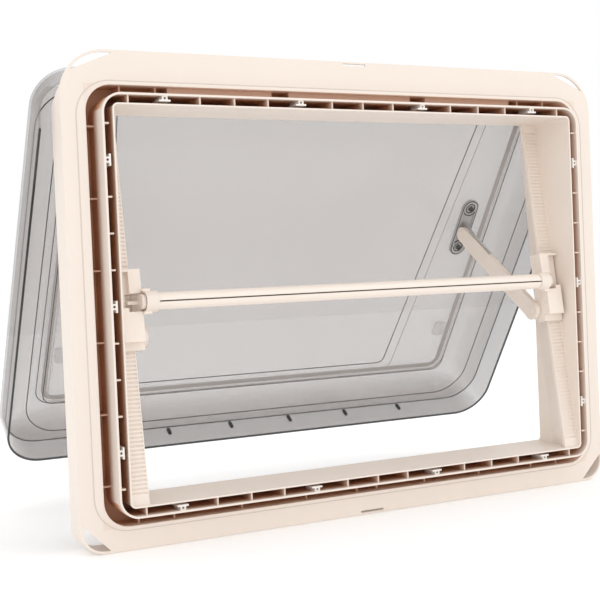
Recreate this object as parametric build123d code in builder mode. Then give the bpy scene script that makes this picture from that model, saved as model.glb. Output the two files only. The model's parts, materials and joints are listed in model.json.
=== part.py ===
"""Push-out roof window with a double acrylic sash and a push bar, shown part open.

The frame stands upright: X is the width, +Z is up towards the hinge, +Y is the
outdoor side.  The origin is the centre of the cut-out on the flange's sealing plane.
"""

import os
from math import asin, atan, atan2, cos, degrees, hypot, radians, sin

from build123d import *

os.makedirs("parts", exist_ok=True)

# ---- driving dimensions, millimetres and degrees -------------------------------------

cutout_width = 700.0  # hole in the wall that the spigot drops into
cutout_height = 500.0
cutout_gap = 2.0  # all round, between the cut-out and the spigot

flange_width = cutout_width + 80.0
flange_height = cutout_height + 90.0
flange_rise = 6.0  # the flange sits this much higher than the cut-out
flange_corner_top = 55.0
flange_corner_foot = 30.0
flange_thick = 2.5
rim_depth = 41.0  # upturned edge of the flange, at the sides and the foot
rim_depth_top = 4.0  # the same edge along the hinge side
rim_slope_low = cutout_height / 2 - 13.0  # height where the rim starts to drop to the hinge side
rim_slope_high = cutout_height / 2 + 9.0
rim_wall = 2.5
window_inset = 3.0  # the corner windows stay this far inside the outer edge
window_top = [(64.0, 3.5), (12.0, 25.5), (-5.0, -4.0)]  # drain windows lie inside these
window_foot = [(40.0, -1.0), (-2.0, 41.0), (-10.0, -11.0)]  # triangles, from the corners
edge_slot_width = 34.0
edge_slot_depth = 3.0
edge_slot_inset = 2.2
bead_width = cutout_width + 44.0  # where the raised landing starts
bead_height = cutout_height + 30.0
bead_corner = 42.0
landing_rise = 2.0

channel_wall = 2.5
channel_gap = 13.0  # between the spigot and the channel wall round it, at the sides
channel_gap_ends = 12.0  # the same, at the top and the foot
channel_corner = 32.0
deck_depth = 38.0  # closes the channels on the outdoor side
deck_thick = 2.5

spigot_reach = 23.0  # how far the spigot stands out indoors
spigot_wall = 2.5
spigot_corner = 24.0
spigot_step_depth = 12.0  # behind this depth the spigot is thinner
spigot_step = 1.0

liner_width = cutout_width - 30.0
liner_height = cutout_height - 28.0
liner_wall = 2.0
liner_corner = 7.0
liner_front = -22.0
liner_back = 68.0
liner_bead = 3.0  # the thicker edge at the front of the liner
liner_bead_step = 0.8

rib_thick = 2.0
outer_rib_depth = 12.0  # front edge of the ribs in the outer channel
inner_rib_depth = -19.0  # front edge of the ribs in the inner channel
inner_rib_reach = 8.5
side_rib_reach = 6.0
top_blocks = [(-185.0, 140.0), (0.0, 180.0), (185.0, 140.0)]  # middle and width
rib_pitch_x = (cutout_width - 70.0) / 14
rib_pitch_z = (cutout_height - 75.0) / 10

clip_pitch_x = 4 * rib_pitch_x
clip_pitch_z = 4 * rib_pitch_z
clip_front = -20.5
clip_back = 5.0
clip_length = 14.0
clip_thick = 6.5
clip_waist = 7.0
clip_screw_radius = 1.6

seal_width = 7.0
seal_start = liner_back - 10.0
seal_end = liner_back + 2.0
seal_round = 2.4

rail_inner = cutout_width / 2 - 40.0  # the rail's free edge, measured from the middle
rail_centre_depth = 18.7  # depth of the toothed face at mid height
rail_slope = 0.152  # depth gained for each unit of height
rail_lip = 5.0
rail_undercut = 3.0
rail_web_depth = 45.0
rail_web_tip = 2.0
tooth_pitch = 5.0
tooth_depth = 1.2
tooth_gap = 2.2
tooth_margin = 1.5
rail_plain_end = 9.0  # smooth foot of the rail

hinge_depth = 40.0
hinge_height = cutout_height / 2 + 19.0
open_angle = 33.5
hinge_length = cutout_width - 60.0
hinge_knuckles = 9
knuckle_radius = 4.5
knuckle_gap = 0.5
pin_radius = 1.6
running_gap = 0.05
leaf_thick = 2.2

dome_width = cutout_width + 114.0
dome_foot = -(cutout_height / 2 + 46.0)
dome_top = cutout_height / 2 + 30.0
dome_corner = 52.0
dome_wall = 3.0
dome_rim = 5.0  # depth of the rim's edge when shut
dome_shoulder = 60.0
dome_brow = 84.0
dome_crown = 101.0
dome_brow_inset = 22.0
dome_brow_inset_ends = 20.0
crown_foot = -cutout_height / 2
crown_top = cutout_height / 2 - 14.0
crown_half_top = cutout_width / 2 - 59.0
crown_half_foot = cutout_width / 2 - 101.0
crown_corner = 10.0
hinge_notch_depth = 30.0  # the skirt is cut back to here along the hinge
hinge_notch_low = cutout_height / 2 - 28.0
hinge_notch_high = cutout_height / 2

pane_thick = 3.0
pane_flange_depth = 42.0
pane_depth = 80.0
pane_flange_top = cutout_height / 2 + 10.0
tray_half_width = cutout_width / 2 + 24.0
tray_foot = -(cutout_height / 2 + 24.0)
tray_top = cutout_height / 2 + 7.0
tray_corner = 50.0
plateau_half_width = cutout_width / 2 + 2.0
plateau_foot = -(cutout_height / 2 + 3.0)
plateau_top = cutout_height / 2 - 4.0
plateau_corner = 24.0
ledge_half_width = cutout_width / 2 - 5.0  # raised ring that closes on the weather seal
ledge_foot = -(cutout_height / 2 - 2.0)
ledge_top = cutout_height / 2 - 5.0
ledge_width = 9.0
ledge_corner = 18.0
ledge_gap = 0.4

plug_pitch = 102.0
plug_count = 6
plug_depth_mid = 34.0
plug_height = 2.4
plug_radius = 2.6
plug_length = 14.0

bracket_x = rail_inner - 6.0
bracket_height = 31.0
bracket_screw_pitch = 70.0
bracket_radius = 14.0
bracket_thick = 4.5
bracket_recess = 1.2
bracket_screw_radius = 2.0
bracket_head_radius = 4.6
bracket_head_height = 2.0
lug_thick = 5.0
lug_reach = 46.0
lug_width = 30.0
lug_tip_width = 14.0
pad_x = rail_inner + 11.0
pad_height = -165.0
pad_width = 20.0
pad_length = 24.0
pad_thick = 6.0

arm_thick = 7.5
arm_half_width = 12.5
arm_end_radius = 13.5
arm_tab_radius = 11.0
arm_neck = 20.0  # length of the narrow tab at the bracket end
arm_rib_margin = 3.2
arm_rib_depth = 1.6
side_gap = 0.5
rod_radius = 1.6
rod_start = 128.0  # along the arm from its slide pivot
rod_end = 190.0
pivot_radius = 3.0
pivot_head_radius = 5.2
pivot_head_height = 1.8
pivot_from_pane = 16.0
pivot_height = 27.0
slide_pivot_depth = 27.0
slide_pivot_height = -38.0

bar_height = 4.0
bar_depth = 0.0
bar_radius = 10.5
bar_wall = 1.6
bar_slit = 1.7
bar_half = rail_inner - 11.0
collar_radius = bar_radius + 2.0
collar_start = rail_inner - 25.5
collar_end = rail_inner - 10.0
journal_radius = 6.0
journal_end = rail_inner - 5.0
plug_depth = 14.5

slide_inner = rail_inner - 10.0
slide_outer = rail_inner + 21.0
slide_low = -55.0  # along the rail, from mid height
slide_high = 42.0
slide_gap = 0.4
slide_floor = 4.0
slide_column_outer = rail_inner + 5.0
slide_column_height = 13.0
slide_border = 3.0
housing_inner = rail_inner - 8.5
housing_outer = rail_inner + 17.0
housing_top = -5.0
housing_low = -46.0
housing_height = 17.0
foot_height = 6.5
saddle_inner = rail_inner - 17.5  # snap-in bearing for the collar
saddle_outer = rail_inner - 8.0
saddle_wall = 2.8
saddle_over = 4.0  # the saddle grips this far past the bar's axis
guide_inner = rail_inner - 10.0
guide_depth = 9.0
guide_tongue = 3.4
ear_radius = 12.0

catch_hub_end = rail_inner - 5.0
catch_inner = rail_inner + 1.0
catch_outer = rail_inner + 8.0
catch_bridge = 8.0  # height of the bridge over the slide's edge
catch_hub_radius = 9.0
catch_width = 4.0
catch_root = 7.0
catch_clear = 0.5
catch_pocket_low = -10.0
catch_pocket_high = 12.5

# ---- derived sizes -------------------------------------------------------------------

spigot_width = cutout_width - 2 * cutout_gap
arm_inner = guide_inner - side_gap - arm_thick  # the arms run beside the guides
spigot_height = cutout_height - 2 * cutout_gap
channel_width = spigot_width + 2 * channel_gap
channel_height = spigot_height + 2 * channel_gap_ends
liner_inside = liner_width / 2 - liner_wall
liner_inside_end = liner_height / 2 - liner_wall
rail_angle = degrees(atan(rail_slope))
dome_height = dome_top - dome_foot
dome_centre = (dome_top + dome_foot) / 2
spigot_face = spigot_width / 2 - spigot_wall
spigot_face_end = spigot_height / 2 - spigot_wall


def across(depth):
    """Plane across the opening at a depth: local x is X, local y is Z."""
    return Plane.XZ.offset(-depth)


def through(length):
    """Signed amount that extrudes from an across() plane towards the outdoor side."""
    return -length


hinge_turn = (
    Pos(0, hinge_depth, hinge_height)
    * Rot(open_angle, 0, 0)
    * Pos(0, -hinge_depth, -hinge_height)
)


def sash_plane(depth):
    """The across() plane of the shut sash, turned open about the hinge."""
    return Plane(hinge_turn * across(depth).location)


def sash_point(x, depth, height):
    """A point of the shut sash, turned open about the hinge."""
    return (hinge_turn * Pos(x, depth, height)).position


rail_plane = Plane(
    origin=(0, rail_centre_depth, 0),
    x_dir=(1, 0, 0),
    z_dir=(0, -cos(radians(rail_angle)), sin(radians(rail_angle))),
)


def along_rail(travel):
    """Plane square to the rail: local x is X, local y points away from the teeth."""
    return Plane(
        origin=rail_plane.from_local_coords((0, travel, 0)),
        x_dir=(1, 0, 0),
        z_dir=rail_plane.y_dir,
    )


def rounded(width, height, corner, mode=Mode.ADD):
    """Rounded rectangle centred on the sketch's origin or location."""
    RectangleRounded(width, height, corner, mode=mode)


def tube_between(width, height, corner, wall, start, end):
    """Rectangular tube from one depth to another, its wall inside the outline."""
    with BuildSketch(across(start)) as section:
        rounded(width, height, corner)
        inner_corner = max(corner - wall, 0.5)
        rounded(width - 2 * wall, height - 2 * wall, inner_corner, Mode.SUBTRACT)
    extrude(section.sketch, amount=through(end - start))


def flange_outline(inset):
    """Outline of the flange, drawn in by an inset."""
    with BuildSketch(mode=Mode.PRIVATE) as outline:
        with Locations((0, flange_rise)):
            Rectangle(flange_width - 2 * inset, flange_height - 2 * inset)
        fillet(outline.vertices().group_by(Axis.Y)[-1], flange_corner_top - inset)
        fillet(outline.vertices().group_by(Axis.Y)[0], flange_corner_foot - inset)
    return outline.sketch


def save(builder, label):
    """Name a finished piece and write it to its own file."""
    builder.part.label = label
    export_step(builder.part, f"parts/{label}.step")


# ---- outer frame: flange, rim, channel walls, deck, spigot and ribs ------------------

clip_xs = [clip_pitch_x * n for n in (-1.5, -0.5, 0.5, 1.5)]
clip_zs = [clip_pitch_z * n for n in (-1, 0, 1)]


def rib_places(pitch, last, clips):
    """Rib positions along one side: every pitch, but not where a clip sits."""
    steps = range(-last, last + 1)
    return [pitch * n for n in steps if min(abs(pitch * n - c) for c in clips) > pitch / 3]


inner_ribs_x = rib_places(rib_pitch_x, 7, clip_xs)
inner_ribs_z = rib_places(rib_pitch_z, 5, clip_zs)
inner_ribs_x = [x for x in inner_ribs_x if abs(abs(x) - 6.5 * rib_pitch_x) > 1]
outer_ribs_x = [-7, -6, -4, -2, -1 / 3, 1 / 3, 2, 4, 6, 7]
outer_ribs_z = [-5, -3, -1, 1, 3, 5]

with BuildPart() as outer_frame:
    with BuildSketch(across(0)):
        add(flange_outline(0))
    extrude(amount=through(flange_thick))
    with BuildSketch(across(0)):
        rounded(bead_width, bead_height, bead_corner)
    with BuildSketch(across(-landing_rise)):
        rounded(channel_width + 2, channel_height + 2, channel_corner + 1)
    loft()
    with BuildSketch(across(0)):
        add(flange_outline(0))
        add(flange_outline(rim_wall), mode=Mode.SUBTRACT)
    extrude(amount=through(rim_depth))
    with BuildSketch(Plane.YZ):
        with BuildLine():
            Polyline(
                (rim_depth + 1, rim_slope_low),
                (rim_depth, rim_slope_low),
                (rim_depth_top, rim_slope_high),
                (rim_depth_top, flange_height),
                (rim_depth + 1, flange_height),
                close=True,
            )
        make_face()
    extrude(amount=flange_width, both=True, mode=Mode.SUBTRACT)
    # channel wall and deck
    with BuildSketch(across(-landing_rise)):
        rounded(channel_width, channel_height, channel_corner)
    extrude(amount=through(rim_depth + landing_rise), mode=Mode.SUBTRACT)
    wide = channel_width + 2 * channel_wall
    tall = channel_height + 2 * channel_wall
    tube_between(wide, tall, channel_corner + channel_wall, channel_wall, 0, deck_depth)
    with BuildSketch(across(deck_depth - deck_thick)):
        rounded(wide, tall, channel_corner + channel_wall)
        rounded(liner_width, liner_height, liner_corner, Mode.SUBTRACT)
    extrude(amount=through(deck_thick))
    # spigot
    tube_between(
        spigot_width, spigot_height, spigot_corner, spigot_wall, -spigot_reach, spigot_step_depth
    )
    tube_between(
        spigot_width - 2 * spigot_step,
        spigot_height - 2 * spigot_step,
        spigot_corner - spigot_step,
        spigot_wall - spigot_step,
        spigot_step_depth,
        deck_depth - deck_thick,
    )
    # ribs between the channel wall and the spigot
    rib_run = deck_depth - deck_thick - outer_rib_depth
    with BuildSketch(across(outer_rib_depth)):
        for side in (-1, 1):
            mid = side * (spigot_height + channel_gap_ends - spigot_step) / 2
            with Locations([(n * rib_pitch_x, mid) for n in outer_ribs_x]):
                Rectangle(rib_thick, channel_gap_ends + spigot_step)
            mid = side * (spigot_width + channel_gap - spigot_step) / 2
            with Locations([(mid, n * rib_pitch_z) for n in outer_ribs_z]):
                Rectangle(channel_gap + spigot_step, rib_thick)
        mid = (spigot_height + channel_gap_ends - spigot_step) / 2
        for x, width in top_blocks:
            with Locations((x, mid)):
                Rectangle(width, channel_gap_ends + spigot_step)
    extrude(amount=through(rib_run))
    # short ribs inside the spigot
    with BuildSketch(across(inner_rib_depth)):
        for side in (-1, 1):
            mid = side * (spigot_face_end - inner_rib_reach / 2)
            with Locations([(x, mid) for x in inner_ribs_x]):
                Rectangle(rib_thick, inner_rib_reach + 1)
            mid = side * (spigot_face - side_rib_reach / 2)
            with Locations([(mid, z) for z in inner_ribs_z]):
                Rectangle(side_rib_reach + 1, rib_thick)
    extrude(amount=through(deck_depth - deck_thick - inner_rib_depth))
    # drain windows through the face at the four corners
    with BuildSketch(across(-landing_rise)):
        for corners, end in ((window_top, 1), (window_foot, -1)):
            for side in (-1, 1):
                corner_x = side * flange_width / 2
                corner_z = flange_rise + end * flange_height / 2
                with BuildLine():
                    Polyline(
                        *[(corner_x - side * x, corner_z - end * z) for x, z in corners],
                        close=True,
                    )
                make_face()
        add(flange_outline(window_inset), mode=Mode.INTERSECT)
    extrude(amount=through(rim_depth), mode=Mode.SUBTRACT)
    # a short slot near the middle of the top and the foot edge
    with BuildSketch(across(0)):
        reach = flange_height / 2 - edge_slot_inset - edge_slot_depth / 2
        with Locations((0, flange_rise - reach), (0, flange_rise + reach)):
            Rectangle(edge_slot_width, edge_slot_depth)
    extrude(amount=through(flange_thick), mode=Mode.SUBTRACT)
save(outer_frame, "outer_frame")

# ---- liner ---------------------------------------------------------------------------

with BuildPart() as liner:
    bead_end = liner_front + liner_bead
    tube_between(liner_width, liner_height, liner_corner, liner_wall, liner_front, bead_end)
    tube_between(
        liner_width - 2 * liner_bead_step,
        liner_height - 2 * liner_bead_step,
        liner_corner - liner_bead_step,
        liner_wall - liner_bead_step,
        bead_end,
        deck_depth - deck_thick,
    )
    tube_between(
        liner_width, liner_height, liner_corner, liner_wall, deck_depth - deck_thick, liner_back
    )
save(liner, "inner_liner")

# ---- screw clips on the spigot's inner face ------------------------------------------


def clip_outline():
    """Waisted block with a screw hole, its foot on the local x axis, pointing down."""
    with BuildSketch(mode=Mode.PRIVATE) as outline:
        with Locations((0, -clip_thick / 2)):
            Rectangle(clip_waist, clip_thick)
        with Locations((0, -clip_thick + 1.1)):
            Rectangle(clip_length, 2.2)
        with Locations((0, -clip_thick / 2 + 0.6)):
            Circle(clip_screw_radius, mode=Mode.SUBTRACT)
    return outline.sketch


with BuildPart() as screw_clips:
    with BuildSketch(across(clip_front)):
        outline = clip_outline()
        for x in clip_xs:
            add(Pos(x, spigot_face_end, 0) * outline)
            add(Pos(x, -spigot_face_end, 0) * Rot(0, 0, 180) * outline)
        for z in clip_zs:
            add(Pos(spigot_face, z, 0) * Rot(0, 0, -90) * outline)
            add(Pos(-spigot_face, z, 0) * Rot(0, 0, 90) * outline)
    extrude(amount=through(clip_back - clip_front))
save(screw_clips, "screw_clips")

# ---- weather seal round the liner's outdoor edge -------------------------------------

with BuildPart() as weather_seal:
    tube_between(
        liner_width + 2 * seal_width,
        liner_height + 2 * seal_width,
        liner_corner + seal_width,
        seal_width,
        seal_start,
        seal_end,
    )
    fillet(weather_seal.faces().sort_by(Axis.Y)[-1].edges(), seal_round)
save(weather_seal, "weather_seal")

# ---- toothed rails -------------------------------------------------------------------

with BuildPart() as rail_right:
    reach = 2 * liner_height
    with BuildSketch(along_rail(-reach / 2)):
        with BuildLine():
            back = rail_lip + rail_web_depth
            Polyline(
                (rail_inner, 0),
                (liner_inside, 0),
                (liner_inside, back),
                (liner_inside - rail_web_tip, back),
                (rail_inner + rail_undercut, rail_lip),
                (rail_inner, rail_lip),
                close=True,
            )
        make_face()
    extrude(amount=reach)
    with BuildSketch(across(liner_front)):
        rounded(2 * liner_inside, 2 * liner_inside_end, liner_corner - liner_wall)
    extrude(amount=through(liner_back - liner_front), mode=Mode.INTERSECT)
    tooth_run = 2 * liner_inside_end - 2 * rail_plain_end
    tooth_count = int(tooth_run / tooth_pitch)
    with BuildSketch(rail_plane):
        with Locations(((rail_inner + liner_inside) / 2, 0)):
            with GridLocations(0, tooth_pitch, 1, tooth_count):
                Rectangle(liner_inside - rail_inner - 2 * tooth_margin, tooth_gap)
    extrude(amount=-tooth_depth, mode=Mode.SUBTRACT)
save(rail_right, "rail_right")

with BuildPart() as rail_left:
    mirror(rail_right.part, about=Plane.YZ)
save(rail_left, "rail_left")

# ---- hinge ---------------------------------------------------------------------------

knuckle_pitch = hinge_length / hinge_knuckles
knuckle_xs = [(n - (hinge_knuckles - 1) / 2) * knuckle_pitch for n in range(hinge_knuckles)]
knuckle_length = knuckle_pitch - knuckle_gap
leaf_foot = channel_height / 2 + channel_wall


def knuckles(plane_at, xs):
    """Barrels of one leaf, on the hinge axis."""
    for x in xs:
        with BuildSketch(plane_at(x)) as barrel:
            Circle(knuckle_radius)
        extrude(barrel.sketch, amount=knuckle_length / 2, both=True)


def hinge_section(x):
    """Plane square to the hinge at x, its origin on the hinge axis."""
    return Plane(origin=(x, hinge_depth, hinge_height), x_dir=(0, 1, 0), z_dir=(1, 0, 0))


def sash_section(x):
    """The same plane, turned with the open sash."""
    turned = Location((x, hinge_depth, hinge_height), (open_angle, 0, 0))
    return Plane(turned * Plane.YZ.location)


with BuildPart() as hinge_leaf_frame:
    knuckles(hinge_section, knuckle_xs[0::2])
    low = leaf_foot - hinge_height
    for x in knuckle_xs[0::2]:
        with BuildSketch(hinge_section(x)):
            with Locations((-hinge_depth / 2 + flange_thick, low + leaf_thick / 2)):
                Rectangle(hinge_depth - 1, leaf_thick)
        extrude(amount=knuckle_length / 2, both=True)
    with BuildSketch(hinge_section(0)):
        with Locations((flange_thick + 6 - hinge_depth, low + leaf_thick / 2)):
            Rectangle(12, leaf_thick)
    extrude(amount=hinge_length / 2 - knuckle_gap / 2, both=True)
    with BuildSketch(hinge_section(0)):
        Circle(pin_radius + running_gap)
    extrude(amount=hinge_length, both=True, mode=Mode.SUBTRACT)
save(hinge_leaf_frame, "hinge_leaf_frame")

skirt_inside = dome_top - dome_wall - hinge_height

with BuildPart() as hinge_leaf_sash:
    knuckles(sash_section, knuckle_xs[1::2])
    for x in knuckle_xs[1::2]:
        with BuildSketch(sash_section(x)):
            with Locations((0, skirt_inside / 2)):
                Rectangle(leaf_thick, skirt_inside)
        extrude(amount=knuckle_length / 2, both=True)
    with BuildSketch(sash_section(0)):
        with Locations((3, skirt_inside - leaf_thick / 2)):
            Rectangle(26, leaf_thick)
    extrude(amount=hinge_length / 2 - knuckle_gap / 2, both=True)
    with BuildSketch(sash_section(0)):
        Circle(pin_radius + running_gap)
    extrude(amount=hinge_length, both=True, mode=Mode.SUBTRACT)
    # the long flange of this leaf stays clear of the frame's barrels
    for x in knuckle_xs[0::2]:
        with BuildSketch(hinge_section(x)):
            Circle(knuckle_radius + knuckle_gap)
        extrude(amount=knuckle_pitch / 2 + knuckle_gap / 2, both=True, mode=Mode.SUBTRACT)
save(hinge_leaf_sash, "hinge_leaf_sash")

with BuildPart() as hinge_pin:
    with BuildSketch(hinge_section(0)):
        Circle(pin_radius)
    extrude(amount=hinge_length / 2 + 2, both=True)
    with BuildSketch(hinge_section(hinge_length / 2 + 2)):
        Circle(pin_radius * 1.8)
    extrude(amount=1.5)
save(hinge_pin, "hinge_pin")

# ---- outer dome ----------------------------------------------------------------------


def crown_outline(shrink):
    """Top of the dome: a panel a little narrower at the foot than at the hinge."""
    with BuildLine() as panel:
        Polyline(
            (-crown_half_top + shrink, crown_top - shrink),
            (crown_half_top - shrink, crown_top - shrink),
            (crown_half_foot - shrink, crown_foot + shrink),
            (-crown_half_foot + shrink, crown_foot + shrink),
            close=True,
        )
    return make_face(panel.edges())


def brow_outline(shrink, inset, inset_ends):
    """Outline of the dome's side, drawn in by the given insets."""
    width = dome_width - 2 * (shrink + inset)
    height = dome_height - 2 * (shrink + inset_ends)
    with Locations((0, dome_centre)):
        rounded(width, height, dome_corner - shrink)


def dome_block(shrink, mode):
    """Solid dome, or with shrink the hollow inside it."""
    with BuildSketch(sash_plane(dome_rim)) as rim:
        brow_outline(shrink, 0, 0)
    extrude(rim.sketch, amount=through(dome_shoulder - dome_rim), mode=mode)
    with BuildSketch(sash_plane(dome_shoulder)) as shoulder:
        brow_outline(shrink, 0, 0)
    with BuildSketch(sash_plane(dome_brow - shrink)) as brow:
        brow_outline(shrink, dome_brow_inset, dome_brow_inset_ends)
    loft([shoulder.sketch.face(), brow.sketch.face()], mode=mode)
    with BuildSketch(sash_plane(dome_crown - shrink)) as crown:
        crown_outline(shrink)
        fillet(crown.vertices(), crown_corner)
    loft([brow.sketch.face(), crown.sketch.face()], mode=mode)


with BuildPart() as outer_dome:
    dome_block(0, Mode.ADD)
    dome_block(dome_wall, Mode.SUBTRACT)
    # the skirt is shorter along the hinge, so that it can swing past the frame
    with BuildSketch(Plane(hinge_turn * Plane.YZ.location)):
        with BuildLine():
            Polyline(
                (0, hinge_notch_low),
                (dome_rim, hinge_notch_low),
                (hinge_notch_depth, hinge_notch_high),
                (hinge_notch_depth, dome_top + 1),
                (0, dome_top + 1),
                close=True,
            )
        make_face()
    extrude(amount=dome_width, both=True, mode=Mode.SUBTRACT)
save(outer_dome, "outer_dome")

# ---- inner pane ----------------------------------------------------------------------


def box_outline(half_width, foot, top, corner):
    """Rounded rectangle between two heights."""
    with Locations((0, (foot + top) / 2)):
        rounded(2 * half_width, top - foot, corner)


with BuildPart() as inner_pane:
    skirt_half = dome_width / 2 - dome_wall
    with BuildSketch(sash_plane(pane_flange_depth)):
        box_outline(skirt_half, dome_foot + dome_wall, dome_top - dome_wall, dome_corner - dome_wall)
        with Locations((0, pane_flange_top + dome_height / 2)):
            Rectangle(dome_width, dome_height, mode=Mode.SUBTRACT)
    extrude(amount=through(pane_thick))
    with BuildSketch(sash_plane(pane_flange_depth + pane_thick)):
        box_outline(tray_half_width + pane_thick, tray_foot - pane_thick, tray_top + 2, tray_corner)
    with BuildSketch(sash_plane(pane_depth + pane_thick)):
        box_outline(
            plateau_half_width + pane_thick,
            plateau_foot - pane_thick,
            plateau_top + 2,
            plateau_corner + pane_thick,
        )
    loft()
    with BuildSketch(sash_plane(pane_flange_depth)):
        box_outline(tray_half_width, tray_foot, tray_top, tray_corner - pane_thick)
    with BuildSketch(sash_plane(pane_depth)):
        box_outline(plateau_half_width, plateau_foot, plateau_top, plateau_corner)
    loft(mode=Mode.SUBTRACT)
    # ring that closes on the weather seal
    with BuildSketch(sash_plane(seal_end + ledge_gap)):
        box_outline(ledge_half_width, ledge_foot, ledge_top, ledge_corner)
        with Locations((0, (ledge_foot + ledge_top) / 2)):
            RectangleRounded(
                2 * (ledge_half_width - ledge_width),
                ledge_top - ledge_foot - 2 * ledge_width,
                ledge_corner - ledge_width,
                mode=Mode.SUBTRACT,
            )
    extrude(amount=through(pane_depth - seal_end - ledge_gap))
save(inner_pane, "inner_pane")

# ---- small sash pieces ---------------------------------------------------------------

plug_xs = [(n - (plug_count - 1) / 2) * plug_pitch for n in range(plug_count)]

foot_inside = Plane(hinge_turn * Pos(0, 0, dome_foot + dome_wall))

with BuildPart() as vent_plugs:
    with BuildSketch(foot_inside):
        with Locations([(x, plug_depth_mid) for x in plug_xs]):
            SlotOverall(plug_length, 2 * plug_radius, rotation=90)
    extrude(amount=plug_height)
save(vent_plugs, "vent_plugs")

with BuildPart() as bracket_right:
    with BuildSketch(sash_plane(pane_depth)):
        with Locations((bracket_x, bracket_height)):
            SlotCenterToCenter(bracket_screw_pitch, 2 * bracket_radius, rotation=90)
    extrude(amount=-through(bracket_thick))
    with BuildSketch(sash_plane(pane_depth - bracket_thick)):
        with Locations((bracket_x, bracket_height)):
            SlotCenterToCenter(bracket_screw_pitch, 2 * bracket_radius - 7, rotation=90)
    extrude(amount=through(bracket_recess), mode=Mode.SUBTRACT)
    lug_centre = sash_point(guide_inner, pane_depth, pivot_height)
    lug_plane = Plane(
        origin=lug_centre, x_dir=sash_plane(0).z_dir, z_dir=(1, 0, 0)
    )
    with BuildSketch(lug_plane):
        with BuildLine():
            Polyline(
                (0, -lug_width / 2),
                (lug_reach, -lug_tip_width / 2),
                (lug_reach, lug_tip_width / 2),
                (0, lug_width / 2),
                close=True,
            )
        make_face()
        with Locations((pivot_from_pane, 0)):
            Circle(pivot_radius + running_gap, mode=Mode.SUBTRACT)
    extrude(amount=lug_thick)
    with BuildSketch(sash_plane(pane_depth)):
        with Locations((bracket_x, bracket_height)):
            with GridLocations(0, bracket_screw_pitch, 1, 2):
                Circle(bracket_screw_radius + running_gap)
    extrude(amount=-through(bracket_thick), mode=Mode.SUBTRACT)
save(bracket_right, "bracket_right")

with BuildPart() as bracket_left:
    mirror(bracket_right.part, about=Plane.YZ)
save(bracket_left, "bracket_left")

with BuildPart() as bracket_screws:
    floor = pane_depth - bracket_thick + bracket_recess
    for side in (-1, 1):
        with BuildSketch(sash_plane(pane_depth)):
            with Locations((side * bracket_x, bracket_height)):
                with GridLocations(0, bracket_screw_pitch, 1, 2):
                    Circle(bracket_screw_radius)
        extrude(amount=-through(pane_depth - floor))
        with BuildSketch(sash_plane(floor)):
            with Locations((side * bracket_x, bracket_height)):
                with GridLocations(0, bracket_screw_pitch, 1, 2):
                    Circle(bracket_head_radius)
        extrude(amount=-through(bracket_head_height))
        with BuildSketch(sash_plane(floor - bracket_head_height)):
            with Locations((side * bracket_x, bracket_height)):
                with GridLocations(0, bracket_screw_pitch, 1, 2):
                    Rectangle(5, 1.1)
                    Rectangle(1.1, 5)
        extrude(amount=through(1.1), mode=Mode.SUBTRACT)
save(bracket_screws, "bracket_screws")

with BuildPart() as corner_pads:
    with BuildSketch(sash_plane(pane_depth)):
        with Locations((-pad_x, pad_height), (pad_x, pad_height)):
            rounded(pad_width, pad_length, 3)
    extrude(amount=-through(pad_thick))
save(corner_pads, "corner_pads")

# ---- arms and their pins -------------------------------------------------------------

slide_pivot = Vector(0, slide_pivot_depth, slide_pivot_height)
sash_pivot = sash_point(0, pane_depth - pivot_from_pane, pivot_height)
arm_vector = sash_pivot - slide_pivot
arm_length = arm_vector.length


def arm_plane(x):
    """Plane of the arm's side: local x runs from the slide pivot to the sash pivot."""
    origin = (x, slide_pivot.Y, slide_pivot.Z)
    return Plane(origin=origin, x_dir=arm_vector, z_dir=(1, 0, 0))


def arm_outline(inset):
    """Side view of the arm: wide at the slide, a narrow tab at the bracket."""
    body = arm_length - arm_neck
    with Locations((body / 2, 0)):
        Rectangle(body, 2 * (arm_half_width - inset))
    Circle(arm_end_radius - inset)
    with Locations((body, 0)):
        Circle(arm_half_width - inset)
    with Locations((body + arm_neck / 2, 0)):
        Rectangle(arm_neck, 2 * (arm_tab_radius - inset))
    with Locations((arm_length, 0)):
        Circle(arm_tab_radius - inset)


with BuildPart() as arm_right:
    with BuildSketch(arm_plane(arm_inner)):
        arm_outline(0)
    extrude(amount=arm_thick)
    with BuildSketch(arm_plane(arm_inner + arm_thick)):
        with Locations((arm_length / 2 - 6, 0)):
            run = arm_length - 2 * arm_end_radius - arm_neck
            SlotOverall(run, 2 * (arm_half_width - arm_rib_margin))
    extrude(amount=-arm_rib_depth, mode=Mode.SUBTRACT)
    with BuildSketch(arm_plane(arm_inner)):
        Circle(pivot_radius + running_gap)
        with Locations((arm_length, 0)):
            Circle(pivot_radius + running_gap)
    extrude(amount=arm_thick, mode=Mode.SUBTRACT)
save(arm_right, "arm_right")

with BuildPart() as arm_left:
    mirror(arm_right.part, about=Plane.YZ)
save(arm_left, "arm_left")

with BuildPart() as sash_pivot_pin_right:
    head = pivot_head_height
    with BuildSketch(Plane(origin=(arm_inner - head - 0.2, sash_pivot.Y, sash_pivot.Z), z_dir=(1, 0, 0))):
        Circle(pivot_head_radius)
    extrude(amount=head)
    with BuildSketch(Plane(origin=(arm_inner - 0.2, sash_pivot.Y, sash_pivot.Z), z_dir=(1, 0, 0))):
        Circle(pivot_radius)
    extrude(amount=arm_thick + side_gap + lug_thick + 1.2)
save(sash_pivot_pin_right, "sash_pivot_pin_right")

with BuildPart() as sash_pivot_pin_left:
    mirror(sash_pivot_pin_right.part, about=Plane.YZ)
save(sash_pivot_pin_left, "sash_pivot_pin_left")

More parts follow.
